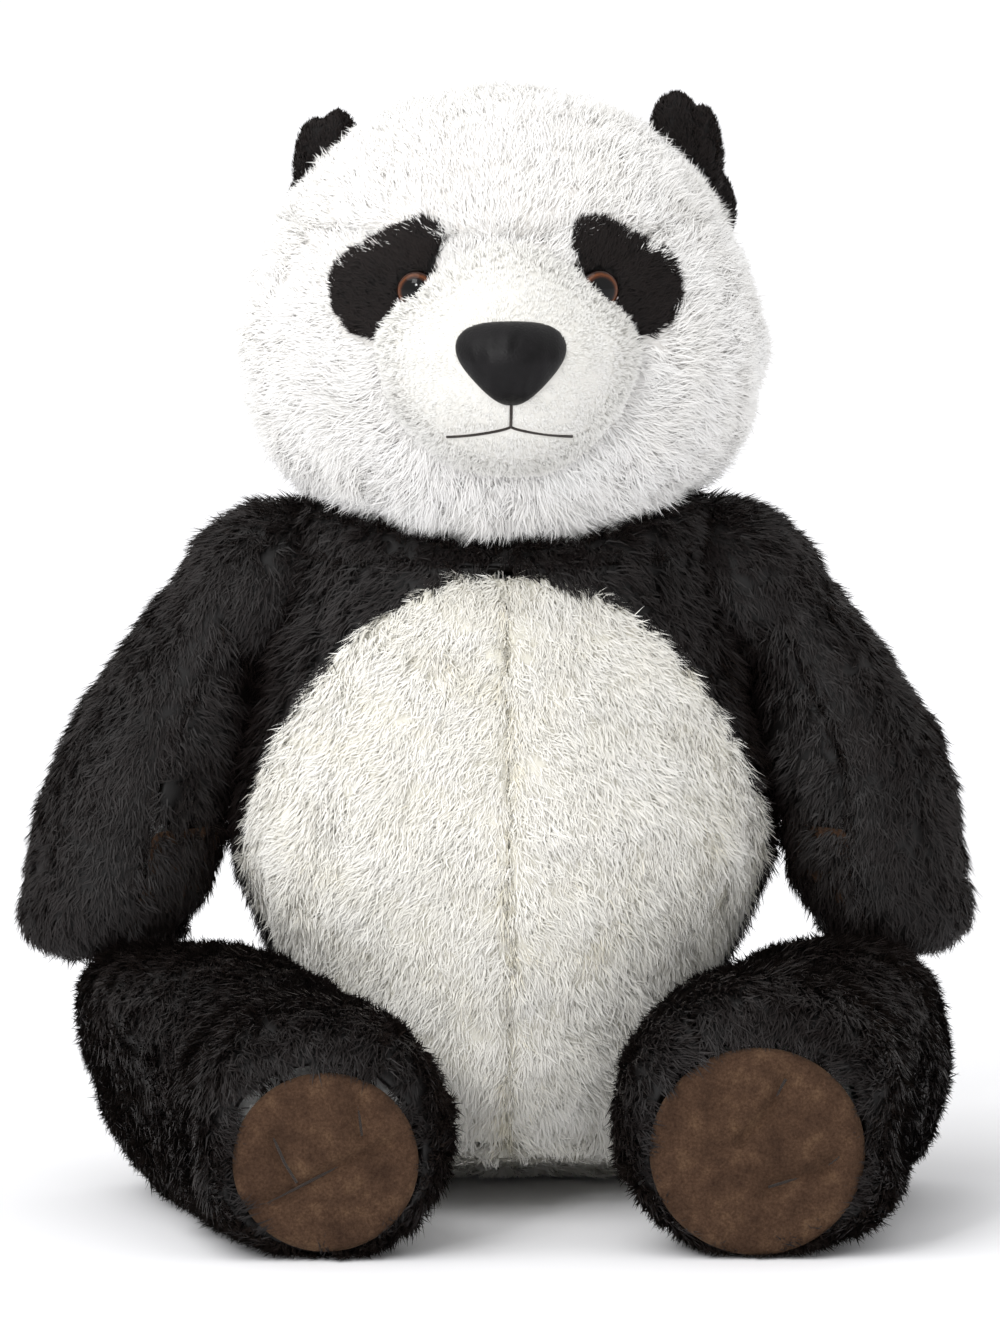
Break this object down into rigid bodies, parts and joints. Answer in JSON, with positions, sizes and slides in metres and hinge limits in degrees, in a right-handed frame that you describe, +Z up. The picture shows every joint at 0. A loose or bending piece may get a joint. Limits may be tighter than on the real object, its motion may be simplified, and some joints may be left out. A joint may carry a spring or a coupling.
{
  "type": "plush panda",
  "caption": "Seated soft toy panda of sewn plush panels over stuffing, with a turning and nodding head, flopping ears, swinging arms and splaying legs.",
  "frame": {"origin": "middle of the flat seat, on the surface it sits on", "axes": "+Z up, the panda faces -Y, +X is its own left"},
  "size_m": [0.3792, 0.3266, 0.4463],
  "materials": {
    "white_fur": "long pile white faux fur",
    "black_fur": "long pile black faux fur",
    "white_short_plush": "short shorn white plush",
    "black_short_plush": "short pile black plush",
    "brown_suede": "brushed brown imitation suede",
    "nose_leather": "soft black imitation leather",
    "eye_plastic": "glossy safety eye, brown iris and black pupil",
    "washer_plastic": "moulded white washer",
    "thread": "dark embroidery thread",
    "filling": "white polyester fibre filling",
    "bag_cloth": "plain woven cotton bag"
  },
  "bodies": {
    "torso": {"belly_panel_left": "white_fur", "belly_panel_right": "white_fur", "side_panel_left": "black_fur", "side_panel_right": "black_fur", "upper_back_left": "black_fur", "upper_back_right": "black_fur", "rump_panel_left": "white_fur", "rump_panel_right": "white_fur", "shoulder_yoke": "black_fur", "seat_panel": "white_fur", "tail": "white_fur", "back_closing_stitch": "thread", "body_stuffing": "filling", "weight_bag": "bag_cloth"},
    "neck": {"neck_gusset": "black_fur", "neck_stuffing": "filling"},
    "head": {"cheek_panel_left": "white_fur", "cheek_panel_right": "white_fur", "crown_panel": "white_fur", "head_back_left": "white_fur", "head_back_right": "white_fur", "muzzle_panel_left": "white_short_plush", "muzzle_panel_right": "white_short_plush", "chin_panel": "white_short_plush", "eye_patch_left": "black_fur", "eye_patch_right": "black_fur", "safety_eye_left": "eye_plastic", "safety_eye_right": "eye_plastic", "eye_washer_left": "washer_plastic", "eye_washer_right": "washer_plastic", "nose": "nose_leather", "mouth_stitch": "thread", "head_stuffing": "filling", "muzzle_stuffing": "filling"},
    "left_ear": {"ear_front_left": "black_short_plush", "ear_back_left": "black_short_plush"},
    "left_arm": {"arm_outer_left": "black_fur", "arm_inner_left": "black_fur", "paw_pad_left": "brown_suede", "arm_stuffing_left": "filling"},
    "left_leg": {"leg_top_left": "black_fur", "leg_inner_left": "black_fur", "sole_pad_left": "brown_suede", "toe_stitch_left": "thread", "leg_stuffing_left": "filling"},
    "right_ear": {"ear_front_right": "black_short_plush", "ear_back_right": "black_short_plush"},
    "right_arm": {"arm_outer_right": "black_fur", "arm_inner_right": "black_fur", "paw_pad_right": "brown_suede", "arm_stuffing_right": "filling"},
    "right_leg": {"leg_top_right": "black_fur", "leg_inner_right": "black_fur", "sole_pad_right": "brown_suede", "toe_stitch_right": "thread", "leg_stuffing_right": "filling"}
  },
  "joints": [
    {"name": "neck_turn", "type": "hinge", "parent": "torso", "child": "neck", "pos_m": [0, 0, 0.35], "axis": [0, 0, 1], "range_deg": [-30, 30]},
    {"name": "head_nod", "type": "hinge", "parent": "neck", "child": "head", "pos_m": [0, 0, 0.35], "axis": [1, 0, 0], "range_deg": [-8, 10]},
    {"name": "left_ear_flop", "type": "hinge", "parent": "head", "child": "left_ear", "pos_m": [0.07799, 0.01627, 0.41459], "axis": [0.405, 0.5345, -0.7418], "range_deg": [-15, 15], "stiffness_Nm_per_rad": 0.03},
    {"name": "right_ear_flop", "type": "hinge", "parent": "head", "child": "right_ear", "pos_m": [-0.07799, 0.01627, 0.41459], "axis": [-0.405, 0.5345, -0.7418], "range_deg": [-15, 15], "stiffness_Nm_per_rad": 0.03},
    {"name": "left_shoulder_swing", "type": "hinge", "parent": "torso", "child": "left_arm", "pos_m": [0.094, 0.008, 0.26], "axis": [-1, 0, 0], "range_deg": [-25, 70]},
    {"name": "right_shoulder_swing", "type": "hinge", "parent": "torso", "child": "right_arm", "pos_m": [-0.094, 0.008, 0.26], "axis": [-1, 0, 0], "range_deg": [-25, 70]},
    {"name": "left_hip_splay", "type": "hinge", "parent": "torso", "child": "left_leg", "pos_m": [0.131, -0.015, 0.05], "axis": [0, 0, 1], "range_deg": [-5, 18]},
    {"name": "right_hip_splay", "type": "hinge", "parent": "torso", "child": "right_leg", "pos_m": [-0.131, -0.015, 0.05], "axis": [0, 0, -1], "range_deg": [-5, 18]}
  ]
}
